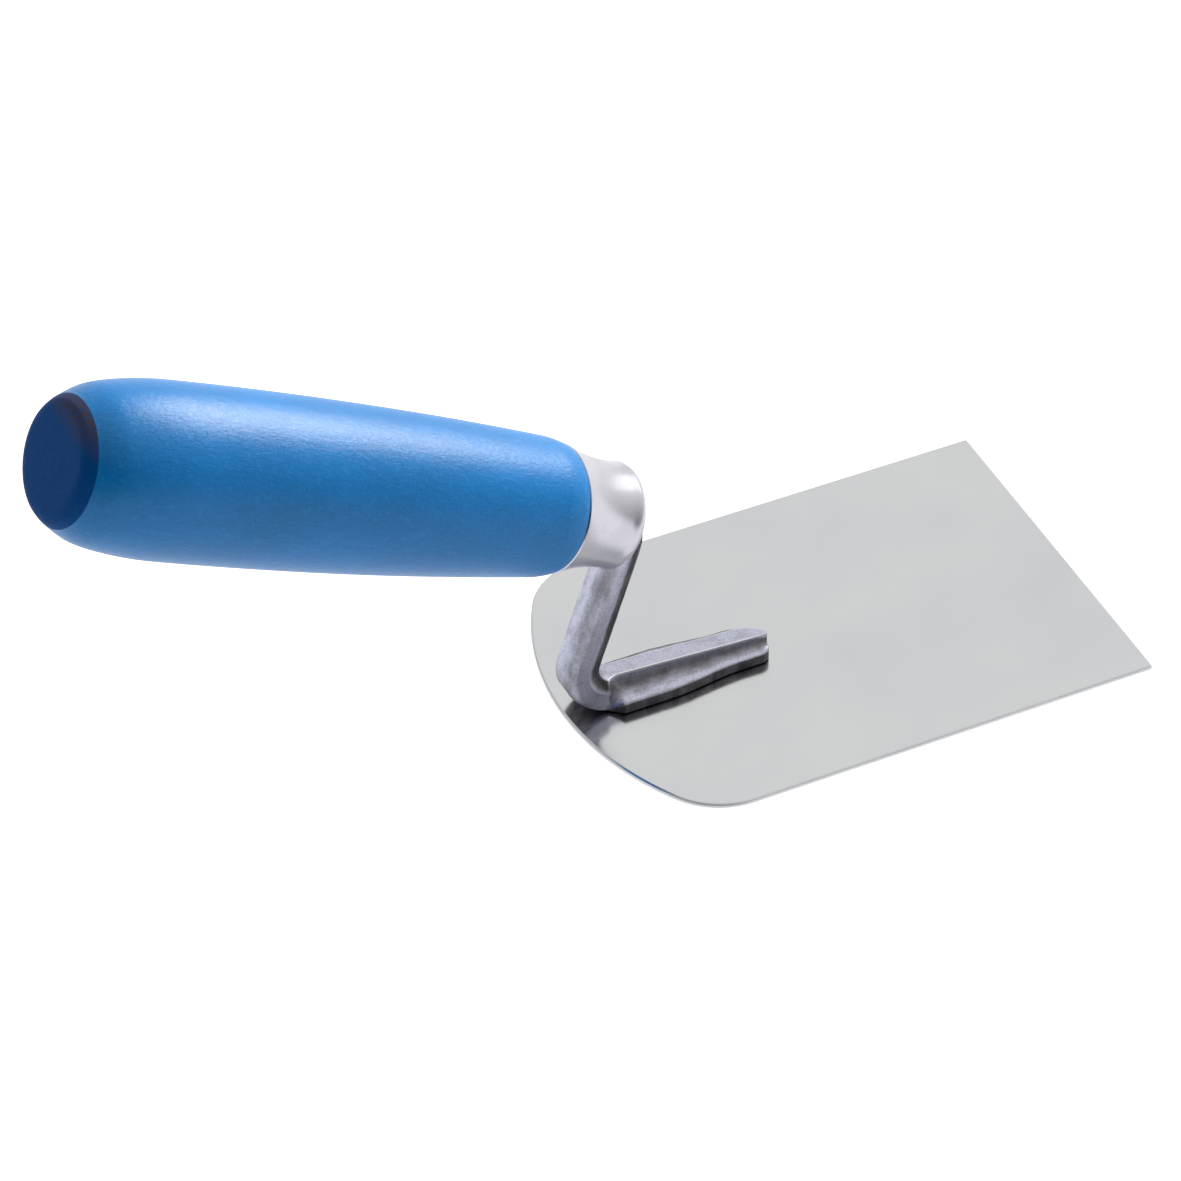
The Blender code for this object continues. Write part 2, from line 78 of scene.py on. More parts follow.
# Foot: a rib with a narrow cap and a wide flange, lower and narrower towards its tip.
FOOT_LENGTH = 46.6
FOOT_REAR = 7.2
FOOT_TIP = 4.8
CAP_HALF = 2.1
CAP_DEPTH = 0.7
FLANGE_REAR = 7.1
FLANGE_TIP = 5.4
FLANGE_THICKNESS = 2.3
FLANGE_TAPER = (12.2, 30.2)
COVE_END = 3.0
TIP_ROUND_FAR = 6.8
TIP_ROUND_NEAR = 2.6
TIP_FACE = 0.02
TIP_STEPS = 20
RIB_STEPS = 40
EDGE = 0.25

# Neck: a ridged bar that rises from the heel block and leans forward to the shoulder.
NECK_SETBACK = 1.2
NECK_DEPTH = 8.4
NECK_WIDTH = 7.6
NECK_FRONT = 4.8
NECK_BACK = 2.0
NECK_BACK_ROUND = 2.8
RIDGE_FROM_BACK = 0.62
BLOCK_WIDTH = 9.8
BLOCK_TOP = 6.8
BLOCK_BACK = 8.6
BLOCK_ROUND = 1.0
HEEL_BEND = 6.5
NECK_LEAN = math.radians(18.0)
SHOULDER_HEIGHT = 49.56
SHOULDER_BEND = 8.8
BEND_STEPS = 26
# Rows of the bend over which the foot's painted light gives way to the bar's, and over which the
# painted shade on the back of the heel bend fades out.
COVE_ROWS = (0.0, 5.0)
HEEL_ROWS = (14.0, 26.0)

# The forged skin: how deep it is, what stays true, and its dents to the millimetre.
SKIN_DEPTH = 0.09
SKIN_ON_CAP = 0.25
TRUE_OVER_FOOT = 0.6
TRUE_UNDER_SHOULDER = 2.0
WIDE_DENTS = 0.32
SMALL_DENTS = 0.95
CAP_FROM_X = -48.0

# Tang: a square spike, blind in the handle.
TANG_LENGTH = 74.0
TANG_WIDTH = 7.0
TANG_TIP = 3.0
TANG_BEVEL = 0.6
BORE_TIP = 2.0

# Handle: turned, with its swell near the butt.
HANDLE_RISE = math.radians(25.77)
HANDLE_SETBACK = 19.7
HANDLE_LENGTH = 121.6
SWELL = 18.35
SWELL_FROM_BUTT = 25.5
FRONT = 14.92
TAPER_POWER = 2.1
SEAM = 13.6
FRONT_SHOULDER = 5.9
FRONT_FULLNESS = 1.4
BUTT_SIDE = 16.8
BUTT_POWER = 2.0
BUTT_FACE = 11.5
BUTT_SHOULDER = 9.2
BUTT_FULLNESS = 1.3
TENON = 8.0
# How far from the end face the butt takes a darker paint: painted shade, as the end faces away from
# the lights.
SHADED_END_DEPTH = 2.4
# The butt's face as (radius, sunk): flat, with its corner sanded over.
SANDED_END = (
    (0.0, 0.0), (4.0, 0.0), (8.0, 0.0), (10.2, 0.02), (11.0, 0.1), (11.6, 0.28), (12.1, 0.6),
)
GOUGE_REACH = 2.2
GOUGE_FALL = 0.5
SANDED_LEAST = 0.03
SANDED_SPREAD = 0.05
SWING_ACROSS = 0.06
SWING_ALONG = 0.035
BUTT_STEPS = 24
GRIP_STEPS = 90
FRONT_STEPS = 20
TENON_STEPS = 12
GRIP_TURNS = 192

# Ferrule: a waisted cup with a domed end, which droops a little as it was pressed.
CUP_LENGTH = 18.5
CUP_RIM = 13.7
CUP_WAIST = 11.2
WAIST_AT = 0.697 * CUP_LENGTH
CUP_BULGE = 11.35
BULGE_AT = 0.8 * CUP_LENGTH
DOME_FULLNESS = 2.1
CUP_WALL = 0.9
CUP_DROOP = 0.02
OPENING_ROOM = 1.0
OPENING_STEPS = 16
LIP_HEIGHT = 0.3
LIP_MIDDLE = 0.35
LIP_ROLL = 0.33
LIP_STEPS = 6
WAIST_STEPS = 40
DOME_STEPS = 24
CUP_TURNS = 128

# Weld nuggets: in a row under the foot.
NUGGETS = 3
POCKET_RADIUS = 2.8
POCKET_DEPTH = 0.5
NUGGET_FROM_TIP = 9.0
NUGGET_PITCH = 12.0
POCKET_TURNS = 32

# Studio: the table, in millimetres, and how much it glows to the tool and to the camera.
TABLE_REACH = 3000.0
TABLE_DROP = 0.02
TABLE_GLOW = 0.56
TABLE_GLOW_SEEN = 0.85
# In metres: what the lights point at. As a direction: where the walls are brightest.
TOOL_MIDDLE = Vector((-0.11, 0.0, 0.08))
BRIGHT_WALL = (0.60, 0.54, 0.59)

FOOT_BOTTOM = BLADE_THICKNESS + GAP
HEEL_X = -BLADE_LENGTH / 2
NECK_X = HEEL_X + NECK_SETBACK
FOOT_MIDDLE = FOOT_BOTTOM + FOOT_REAR / 2
FOOT_TIP_X = NECK_X + FOOT_LENGTH
QUARTER = math.radians(90.0)


# ---------------------------------------------------------------- small sums


def blend(first, last, share):
    """The value a share of the way from the first to the last."""
    return first + (last - first) * share


def ease(value, first, last):
    """Nought up to the first, one from the last on, and an S curve between them."""
    share = min(max((value - first) / (last - first), 0.0), 1.0)
    return share * share * (3.0 - 2.0 * share)


def rounded_end(value, start, end, fullness=2.0):
    """One up to the start, then down to nought at the end; 2 is an ellipse, more is fuller."""
    share = min(max((value - start) / (end - start), 0.0), 1.0)
    return (1.0 - share**fullness) ** (1.0 / fullness)


def along_points(points, place):
    """The point at a place counted in points, on the straight line between its neighbours."""
    low = min(int(place), len(points) - 2)
    share = place - low
    return tuple(blend(a, b, share) for a, b in zip(points[low], points[low + 1]))


# ---------------------------------------------------------------- mesh making


def mesh_from(name, points, faces, worked=None):
    """A mesh with its faces turned outwards; worked is each point's painted light: below nought a
    painted highlight, above nought painted shade.
    """
    mesh = bpy.data.meshes.new(name)
    mesh.from_pydata([Vector(point) * MM for point in points], [], faces)
    if worked:
        mesh.attributes.new("painted_light", "FLOAT", "POINT").data.foreach_set("value", worked)
    skin = bmesh.new()
    skin.from_mesh(mesh)
    bmesh.ops.recalc_face_normals(skin, faces=skin.faces)
    skin.to_mesh(mesh)
    skin.free()
    return mesh


def piece_from(name, mesh, finish=None):
    """Puts a mesh into the scene as a named piece."""
    made = bpy.data.objects.new(name, mesh)
    bpy.context.scene.collection.objects.link(made)
    if finish:
        mesh.materials.append(finish)
    return made


def loft(name, rings, worked=None):
    """A closed skin through rings of equal point counts, with a face over each end."""
    count = len(rings[0])
    faces = [tuple(range(count)), tuple(range((len(rings) - 1) * count, len(rings) * count))]
    for row in range(len(rings) - 1):
        for i in range(count):
            low, high, after = row * count, (row + 1) * count, (i + 1) % count
            faces.append((low + i, low + after, high + after, high + i))
    return mesh_from(name, [point for one in rings for point in one], faces, worked)


def lathe(name, profile, turns):
    """A turned skin; the first and the last point of the profile may lie on the axis."""
    rings = []
    for radius, height in profile:
        if radius == 0.0:
            rings.append([(0.0, 0.0, height)])
            continue
        angles = [2.0 * math.pi * i / turns for i in range(turns)]
        rings.append([(radius * math.cos(a), radius * math.sin(a), height) for a in angles])
    points, starts, faces = [], [], []
    for one in rings:
        starts.append(len(points))
        points += one
    pairs = list(zip(range(len(rings)), range(1, len(rings))))
    if len(rings[0]) > 1:
        pairs.append((len(rings) - 1, 0))
    for a, b in pairs:
        for i in range(turns):
            after = (i + 1) % turns
            corners = []
            for row, spin in ((a, i), (a, after), (b, after), (b, i)):
                corner = starts[row] + (spin if len(rings[row]) > 1 else 0)
                if corner not in corners:
                    corners.append(corner)
            faces.append(tuple(corners))
    return mesh_from(name, points, faces)


def cut_away(piece, cutters):
    """Cuts the cutters' shapes out of the piece, and takes the cutters away."""
    for cutter in cutters:
        difference = piece.modifiers.new("cut", "BOOLEAN")
        difference.operation = "DIFFERENCE"
        difference.solver = "EXACT"
        difference.object = cutter
    bpy.context.view_layer.update()
    graph = bpy.context.evaluated_depsgraph_get()
    done = bpy.data.meshes.new_from_object(piece.evaluated_get(graph))
    piece.modifiers.clear()
    piece.data = done
    for cutter in cutters:
        bpy.data.objects.remove(cutter)


def shade(piece, angle):
    """Smooth, but for the edges that turn by more than the angle in degrees."""
    piece.data.shade_smooth()
    piece.data.set_sharp_from_angle(angle=math.radians(angle))


def nugget_pockets():
    """Shallow round pockets, half in the blade and half in the foot, one for each nugget."""
    pockets = []
    low = BLADE_THICKNESS - POCKET_DEPTH
    high = FOOT_BOTTOM + POCKET_DEPTH
    for number in range(NUGGETS):
        x = FOOT_TIP_X - NUGGET_FROM_TIP - NUGGET_PITCH * number
        profile = [(0.0, high), (POCKET_RADIUS, high), (POCKET_RADIUS, low), (0.0, low)]
        pocket = piece_from(f"pocket_{number}", lathe("pocket", profile, POCKET_TURNS))
        pocket.location.x = x * MM
        pockets.append(pocket)
    return pockets


# ---------------------------------------------------------------- blade


def blade_half():
    """Half of the outline, from the toe corner along the +Y side to the heel's tip."""
    slope = (HEEL_WIDTH - TOE_WIDTH) / 2 / BLADE_LENGTH
    side_turn = math.atan(slope)
    arch_x = HEEL_X + HEEL_ARCH
    reach = HEEL_ARCH - HEEL_CORNER
    side_at_arch = TOE_WIDTH / 2 + slope * (BLADE_LENGTH / 2 - arch_x)
    offset = side_at_arch * math.cos(side_turn) - HEEL_CORNER
    turn = math.pi - math.asin(offset / reach) - side_turn
    centre = (arch_x + reach * math.cos(turn), reach * math.sin(turn))
    outline = []
    # The toe's corner is eased by hand, so that it doesn't cut.
    toe = BLADE_LENGTH / 2
    for step in range(TOE_STEPS + 1):
        a = QUARTER * step / TOE_STEPS
        x = toe - TOE_EASE + TOE_EASE * math.cos(a)
        outline.append((x, TOE_WIDTH / 2 - TOE_EASE + TOE_EASE * math.sin(a)))
    for step in range(1, SIDE_STEPS):
        x = blend(toe - TOE_EASE, centre[0], step / SIDE_STEPS)
        outline.append((x, TOE_WIDTH / 2 + slope * (toe - x)))
    for step in range(CORNER_STEPS + 1):
        a = blend(QUARTER - side_turn, turn, step / CORNER_STEPS)
        x = centre[0] + HEEL_CORNER * math.cos(a)
        outline.append((x, centre[1] + HEEL_CORNER * math.sin(a)))
    for step in range(1, ARCH_STEPS + 1):
        a = blend(turn, math.pi, step / ARCH_STEPS)
        outline.append((arch_x + HEEL_ARCH * math.cos(a), HEEL_ARCH * math.sin(a)))
    return outline


def moved_in(outline, amount):
    """The closed outline moved in by an amount, each point along its own normal."""
    moved = []
    for i, (x, y) in enumerate(outline):
        before, after = outline[i - 1], outline[(i + 1) % len(outline)]
        run = Vector((after[0] - before[0], after[1] - before[1])).normalized()
        moved.append((x - run.y * amount, y + run.x * amount))
    return moved


def make_blade(finish):
    half = blade_half()
    outline = half + [(x, -y) for x, y in reversed(half[:-1])]
    rings = []
    for inward, height in BLADE_EDGE:
        rings.append([(x, y, height) for x, y in moved_in(outline, inward)])
    blade = piece_from("blade_plate", loft("blade_plate", rings), finish)
    cut_away(blade, nugget_pockets())
    shade(blade, 18.0)
    return blade


# ---------------------------------------------------------------- shank


def foot_section(height, cap, flange, place):
    """A point of half the foot's section; place runs from 0 at the top to 10 at the bottom."""
    middle = FOOT_REAR / 2
    top, bottom = height - middle, -middle
    lip, edge = top - CAP_DEPTH, bottom + FLANGE_THICKNESS
    if place <= 1.0:
        a = QUARTER * place
        return (top - EDGE * (1.0 - math.cos(a)), cap - EDGE * (1.0 - math.sin(a)))
    if place <= 2.0:
        return (blend(top - EDGE, lip, place - 1.0), cap)
    if place <= 8.0:
        a = QUARTER * (place - 2.0) / 6.0
        return (lip - (lip - edge) * math.sin(a), cap + (flange - cap) * (1.0 - math.cos(a)))
    if place <= 9.0:
        return (blend(edge, bottom + EDGE, place - 8.0), flange)
    a = QUARTER * (place - 9.0)
    return (bottom + EDGE * (1.0 - math.sin(a)), flange - EDGE * (1.0 - math.cos(a)))


def bar_section(front, back, front_width, side_width, back_width, back_round, place):
    """A point of half the bar's section; place runs from 0 at the front to 10 at the back."""
    ridge = blend(back, front, RIDGE_FROM_BACK)
    if place <= 6.0:
        marks = [(front, front_width - EDGE)]
        for share in (0.06, 0.3, 0.65, 1.0):
            marks.append((blend(front, ridge, share), blend(front_width, side_width, share)))
        marks.append(((ridge + back + back_round) / 2, side_width))
        marks.append((back + back_round, side_width))
        return along_points(marks, place)
    a = QUARTER * (place - 6.0) / 4.0
    inward = (side_width - back_width) * (1.0 - math.cos(a))
    return (back + back_round * (1.0 - math.sin(a)), side_width - inward)


def section_places():
    """Close together where the section curves, and further apart on its flats."""
    places = [i / 6 for i in range(6)] + [1.0, 1.5] + [2.0 + i * 0.25 for i in range(24)]
    return places + [8.0, 8.5] + [9.0 + i / 6 for i in range(7)]


def ring(half, centre, direction, grow=0.0):
    """Half a section, mirrored and set square to the bar's direction at a point."""
    front = Vector((direction.y, -direction.x))
    points = []
    for side in (1, -1):
        for depth, width in (half if side == 1 else reversed(half)):
            spot = centre + front * (depth + math.copysign(grow, depth))
            points.append(Vector((spot.x, side * (width + grow), spot.y)))
    return points


def bend_start():
    """The X at which the foot starts to bend up into the neck."""
    return NECK_X + HEEL_BEND * math.tan((QUARTER + NECK_LEAN) / 2)


def shoulder():
    """Where the middle lines of the neck and the handle would cross, as (X, Z)."""
    return Vector((NECK_X + (SHOULDER_HEIGHT - FOOT_MIDDLE) * math.tan(NECK_LEAN), SHOULDER_HEIGHT))


def handle_way():
    """The direction from the shoulder back along the handle, as (X, Z)."""
    return Vector((-math.cos(HANDLE_RISE), math.sin(HANDLE_RISE)))


def tip_ground(across, x):
    """The tip is ground round on the far side and left nearly square on the near side."""
    far = rounded_end(x, FOOT_TIP_X - TIP_ROUND_FAR, FOOT_TIP_X)
    near = rounded_end(x, FOOT_TIP_X - TIP_ROUND_NEAR, FOOT_TIP_X)
    return -CAP_HALF + (across + CAP_HALF) * (far if across > -CAP_HALF else near)


def foot_rings(places):
    """The foot's sections from its ground tip back to the cove at the heel block."""
    start = bend_start()
    stations = []
    for i in range(TIP_STEPS + 1):
        turn = QUARTER * (TIP_FACE + (1.0 - TIP_FACE) * i / TIP_STEPS)
        stations.append(FOOT_TIP_X - TIP_ROUND_FAR * (1.0 - math.cos(turn)))
    last = start + COVE_END / 2
    stations += [blend(stations[-1], last, i / RIB_STEPS) for i in range(1, RIB_STEPS + 1)]
    rings = []
    for x in stations:
        height = blend(FOOT_REAR, FOOT_TIP, (x - start) / (FOOT_TIP_X - start))
        flange = blend(FLANGE_REAR, FLANGE_TIP, ease(x - start, *FLANGE_TAPER))
        half = [foot_section(height, CAP_HALF, flange, place) for place in places]
        points = ring(half, Vector((x, FOOT_MIDDLE)), Vector((-1.0, 0.0)))
        for point in points:
            point.y = tip_ground(point.y, x)
        rings.append(points)
    return rings


def bar_path(steps):
    """The middle line of the bar: (point, direction) from the heel block to the tang's end."""
    top = shoulder()
    reach = HANDLE_SETBACK + TANG_LENGTH
    corners = [
        Vector((bend_start() + HEEL_BEND, FOOT_MIDDLE)),
        Vector((NECK_X, FOOT_MIDDLE)),
        top,
        top + handle_way() * reach,
    ]
    path = []
    for i, radius in ((1, HEEL_BEND), (2, SHOULDER_BEND)):
        before = (corners[i] - corners[i - 1]).normalized()
        after = (corners[i + 1] - corners[i]).normalized()
        turn = math.atan2(before.x * after.y - before.y * after.x, before.dot(after))
        start = corners[i] - before * radius * math.tan(abs(turn) / 2)
        side = Vector((-before.y, before.x)) * math.copysign(radius, turn)
        arc = []
        for step in range(steps + 1):
            spin = Matrix.Rotation(turn * step / steps, 2)
            arc.append((start + side + spin @ -side, (spin @ before).normalized()))
        if path:
            (low, way), (high, _) = path[-1], arc[0]
            path += [(low.lerp(high, step / steps), way) for step in range(1, steps)]
        path += arc
    for distance in (HANDLE_SETBACK - TENON, HANDLE_SETBACK + TANG_LENGTH / 2, reach):
        path.append((top + handle_way() * distance, handle_way()))
    return path


def square_bar(width, bevel):
    """The sizes that bar_section takes for a square bar with bevelled corners."""
    half = width / 2
    return (half, -half, half - bevel, half, half - bevel, bevel)


def bar_rings(places, steps, grow=0.0, first=0):
    """The bar's sections from the heel block to the tang's end; grow makes it larger all round."""
    path = bar_path(steps)
    block = (
        FOOT_REAR / 2, -FOOT_REAR / 2, BLOCK_TOP / 2, BLOCK_WIDTH / 2, BLOCK_BACK / 2, BLOCK_ROUND,
    )
    neck = (
        NECK_DEPTH / 2, -NECK_DEPTH / 2, NECK_FRONT / 2, NECK_WIDTH / 2, NECK_BACK / 2,
        NECK_BACK_ROUND,
    )
    travels = [0.0]
    for (before, _), (after, _) in zip(path, path[1:]):
        travels.append(travels[-1] + (after - before).length)
    stops = [
        (0.0, block), (travels[steps], neck), (travels[-4], neck),
        (travels[-3], square_bar(TANG_WIDTH, TANG_BEVEL)),
        (travels[-1], square_bar(TANG_TIP, TANG_BEVEL / 2)),
    ]
    rings = []
    for (centre, way), travel in list(zip(path, travels))[first:]:
        sizes = stops[-1][1]
        for (first_at, low), (last_at, high) in zip(stops, stops[1:]):
            if travel <= last_at:
                share = ease(travel, first_at, last_at)
                sizes = tuple(blend(a, b, share) for a, b in zip(low, high))
                break
        cove = 1.0 - ease(travel, -COVE_END / 2, COVE_END / 2)
        half = []
        for place in places:
            a, b = bar_section(*sizes, place)
            c, d = foot_section(FOOT_REAR, CAP_HALF, FLANGE_REAR, place)
            half.append((blend(a, c, cove), blend(b, d, cove)))
        rings.append(ring(half, centre, way, grow))
    return rings


def on_cap(spot):
    """Whether a point is on the foot's cap, which is ground after forging and so dented less."""
    return abs(spot.y) < CAP_HALF and spot.x > CAP_FROM_X


def hammered(mesh):
    """Sinks a forged skin by a small uneven depth; the flat underside and the tang stay true."""
    for vertex in mesh.vertices:
        spot = vertex.co / MM
        if spot.z < FOOT_BOTTOM + TRUE_OVER_FOOT or spot.z > SHOULDER_HEIGHT - TRUE_UNDER_SHOULDER:
            continue
        wide = noise.noise(spot * WIDE_DENTS)
        small = noise.noise(spot * SMALL_DENTS + Vector((7.0, 0.0, 0.0)))
        left = SKIN_ON_CAP if on_cap(spot) else 1.0
        dip = max(0.0, 0.5 + 0.6 * wide + 0.35 * small) * SKIN_DEPTH * left
        vertex.co -= vertex.normal * dip * MM


def painted_light_on_foot(place):
    """Painted light on the foot: below nought a painted highlight on the cap's edge and, faintly,
    where the cove turns up; above nought painted shade on the cove's flank and the flange's side.
    """
    if 0.0 < place < 2.2:
        return -1.0
    marks = (0.0, 0.0, 0.0, 0.75, 0.85, 0.7, 0.4, -0.3, 1.05, 1.15, 1.15)
    return along_points([(mark,) for mark in marks], place)[0]


def painted_light_on_bar(place):
    """The same for the bar: painted shade on the faces before the ridge, so that the ridge stands
    out light, and a lighter painted shade round the back.
    """
    marks = (0.4, 1.1, 1.25, 1.1, -0.2, 0.0, 0.35, 0.6, 0.6, 0.3, 0.1)
    return along_points([(mark,) for mark in marks], place)[0]


def make_shank(finish):
    places = section_places()
    foot, bar = foot_rings(places), bar_rings(places, BEND_STEPS)
    both = places + places[::-1]
    # Each point gets a mark of painted light: painted highlights on edges, painted shade on faces
    # turned from the lights.
    worked = [painted_light_on_foot(place) for _ in foot for place in both]
    for row in range(len(bar)):
        cove = 1.0 - ease(row, *COVE_ROWS)
        # Painted shade on the back of the heel bend, so that it shows dark in the blade's
        # reflection.
        heel = 1.0 - ease(row, *HEEL_ROWS)
        for place in both:
            mark = painted_light_on_bar(place) + heel * ease(place, 7.0, 10.0)
            worked.append(blend(mark, painted_light_on_foot(place), cove))
    mesh = loft("forged_shank", foot + bar, worked)
    shank = piece_from("forged_shank", mesh, finish)
    hammered(shank.data)
    cut_away(shank, nugget_pockets())
    shade(shank, 38.0)
    return shank


# ---------------------------------------------------------------- ferrule and handle


def cup_radius(from_rim):
    """The ferrule's outer radius: in to the waist, out to the bulge, then round the dome."""
    if from_rim <= WAIST_AT:
        return CUP_WAIST + (CUP_RIM - CUP_WAIST) * (1.0 - from_rim / WAIST_AT) ** 2
    if from_rim <= BULGE_AT:
        return blend(CUP_WAIST, CUP_BULGE, ease(from_rim, WAIST_AT, BULGE_AT))
    return CUP_BULGE * rounded_end(from_rim, BULGE_AT, CUP_LENGTH, DOME_FULLNESS)


def cup_profile():
    """From the middle of the dome's inside, round the rolled rim and down the outside."""
    dome = CUP_LENGTH - BULGE_AT
    outer, inner = [], []
    inner_share = 1.0 - CUP_WALL / CUP_BULGE
    for i in range(WAIST_STEPS):
        from_rim = BULGE_AT * i / WAIST_STEPS
        radius = cup_radius(from_rim)
        if from_rim > LIP_HEIGHT:
            outer.append((radius, -GAP - from_rim))
        inner.append((radius - CUP_WALL, -GAP - from_rim))
    for i in range(DOME_STEPS + 1):
        along = math.sin(QUARTER * i / DOME_STEPS)
        radius = cup_radius(BULGE_AT + dome * along)
        outer.append((radius, -GAP - BULGE_AT - dome * along))
        inner.append((radius * inner_share, -GAP - BULGE_AT - (dome - CUP_WALL) * along))
    # The rim is drawn home against the handle's shoulder, and its lip is rolled round.
    rim = []
    for i in range(LIP_STEPS + 1):
        a = math.pi * (1.0 - i / LIP_STEPS)
        middle = CUP_RIM - CUP_WALL / 2
        rim.append((middle + CUP_WALL / 2 * math.cos(a), -LIP_MIDDLE + LIP_ROLL * math.sin(a)))
    outer[-1] = (0.0, outer[-1][1])
    inner[-1] = (0.0, inner[-1][1])
    return list(reversed(inner[1:])) + rim + outer


def seat():
    """The seam between ferrule and handle: Z runs back along the handle, X to its upper side."""
    middle = shoulder() + handle_way() * HANDLE_SETBACK
    place = Matrix.Translation(Vector((middle.x, 0.0, middle.y)) * MM)
    return place @ Matrix.Rotation(HANDLE_RISE - QUARTER, 4, "Y")


def make_ferrule(finish):
    mesh = lathe("ferrule_cup", cup_profile(), CUP_TURNS)
    droop = Matrix.Identity(4)
    droop[0][2] = CUP_DROOP
    mesh.transform(droop)
    mesh.transform(seat())
    cup = piece_from("ferrule_cup", mesh, finish)
    # The opening follows the neck, from half way round the shoulder's bend.
    places = [i * 0.5 for i in range(21)]
    first = OPENING_STEPS + OPENING_STEPS // 2
    opening = loft("opening", bar_rings(places, OPENING_STEPS, OPENING_ROOM, first))
    cut_away(cup, [piece_from("opening", opening)])
    shade(cup, 40.0)
    return cup


def grip_radius(from_seam):
    """The grip's radius: a round shoulder, a long taper, the swell, then the butt's shoulder."""
    from_butt = HANDLE_LENGTH - from_seam
    if from_seam < FRONT_SHOULDER:
        rise = rounded_end(FRONT_SHOULDER - from_seam, 0.0, FRONT_SHOULDER, FRONT_FULLNESS)
        return blend(SEAM, FRONT, rise)
    if from_butt < BUTT_SHOULDER:
        rise = rounded_end(BUTT_SHOULDER - from_butt, 0.0, BUTT_SHOULDER, BUTT_FULLNESS)
        return blend(BUTT_FACE, BUTT_SIDE, rise)
    if from_butt < SWELL_FROM_BUTT:
        fall = (SWELL_FROM_BUTT - from_butt) / (SWELL_FROM_BUTT - BUTT_SHOULDER)
        return blend(SWELL, BUTT_SIDE, fall**BUTT_POWER)
    fall = (from_butt - SWELL_FROM_BUTT) / (HANDLE_LENGTH - SWELL_FROM_BUTT - FRONT_SHOULDER)
    return blend(SWELL, FRONT, fall**TAPER_POWER)


def eased_radius(from_seam):
    """The grip's radius, with the turner's gouge running smoothly on to the butt's shoulder."""
    away = abs(HANDLE_LENGTH - BUTT_SHOULDER - from_seam)
    reach = max(0.0, GOUGE_REACH - GOUGE_FALL * away)
    sides = grip_radius(from_seam - reach) + grip_radius(from_seam + reach)
    return 0.5 * grip_radius(from_seam) + 0.25 * sides


def grip_profile():
    """From the middle of the butt down the grip to the tenon, then back up the bore."""
    length = HANDLE_LENGTH - FRONT_SHOULDER - BUTT_SHOULDER
    heights = []
    for i in range(BUTT_STEPS + 1):
        turn = QUARTER * i / BUTT_STEPS
        heights.append(HANDLE_LENGTH - BUTT_SHOULDER * (1.0 - math.cos(turn)))
    for i in range(1, GRIP_STEPS):
        heights.append(HANDLE_LENGTH - BUTT_SHOULDER - length * i / GRIP_STEPS)
    for i in range(FRONT_STEPS + 1):
        heights.append(FRONT_SHOULDER * (1.0 - math.sin(QUARTER * i / FRONT_STEPS)))
    profile = [(radius, HANDLE_LENGTH - sunk) for radius, sunk in SANDED_END]
    last = HANDLE_LENGTH - SANDED_END[-1][1]
    profile += [(eased_radius(height), height) for height in heights if height < last - 0.1]
    for i in range(TENON_STEPS + 1):
        depth = TENON * i / TENON_STEPS
        profile.append((cup_radius(depth) - CUP_WALL - GAP - CUP_DROOP * depth, -depth))
    bore = math.hypot(TANG_WIDTH, TANG_WIDTH) / 2 + GAP
    profile += [(bore, -TENON), (bore, TANG_LENGTH + GAP)]
    return profile + [(0.0, TANG_LENGTH + GAP + BORE_TIP)]


def make_handle(finish, end_shade_finish):
    """The turned grip in its paint, with the butt's end as its own finish, a darker paint that is
    painted shade.
    """
    mesh = lathe("turned_grip", grip_profile(), GRIP_TURNS)
    shaded_end_from = HANDLE_LENGTH - SHADED_END_DEPTH
    mesh.materials.append(finish)
    mesh.materials.append(end_shade_finish)
    # Faces this near the butt take the darker paint, a painted shade.
    for face in mesh.polygons:
        face.material_index = int(face.center.z / MM > shaded_end_from)
    # Hand sanding and two coats of paint leave a turned grip a little out of round.
    for vertex in mesh.vertices:
        spot = vertex.co / MM
        if math.hypot(spot.x, spot.y) > BUTT_FACE and 0.0 < spot.z < shaded_end_from:
            across = (spot.x * SWING_ACROSS, spot.y * SWING_ACROSS)
            swing = noise.noise(Vector((*across, spot.z * SWING_ALONG)))
            vertex.co -= vertex.normal * (SANDED_LEAST + SANDED_SPREAD * (swing + 1.0) / 2) * MM
    mesh.transform(seat())
    grip = piece_from("turned_grip", mesh)
    shade(grip, 35.0)
    return grip


# ---------------------------------------------------------------- finishes


def linear(code):
    """A #RRGGBB colour as the linear numbers that a shader takes."""
    channels = [int(code[i:i + 2], 16) / 255 for i in (1, 3, 5)]
    turned = [c / 12.92 if c <= 0.04045 else ((c + 0.055) / 1.055) ** 2.4 for c in channels]
    return (*turned, 1.0)


def add(tree, kind, inputs=None, **settings):
    """Adds a node: inputs holds numbers, colours or other nodes' outputs, by socket."""
    node = tree.nodes.new(kind)
    for name, value in settings.items():
        setattr(node, name, value)
    for socket, value in (inputs or {}).items():
        if isinstance(value, bpy.types.NodeSocket):
            tree.links.new(value, node.inputs[socket])
        else:
            node.inputs[socket].default_value = value
    return node


def new_finish(name):
    """A new material, with its node tree and its shader."""
    made = bpy.data.materials.new(name)
    made.use_nodes = True
    tree = made.node_tree
    shader = tree.nodes["Principled BSDF"]
    return made, tree, shader


def mixed(tree, share, first, second):
    """A colour that runs from the first to the second with the share."""
    sockets = {0: share, 6: first, 7: second}
    return add(tree, "ShaderNodeMix", sockets, data_type="RGBA").outputs[2]


def spread(tree, value, low, high, to_low, to_high):
    """A value between low and high, stretched to run between the two others."""
    sockets = {0: value, 1: low, 2: high, 3: to_low, 4: to_high}
    return add(tree, "ShaderNodeMapRange", sockets).outputs[0]


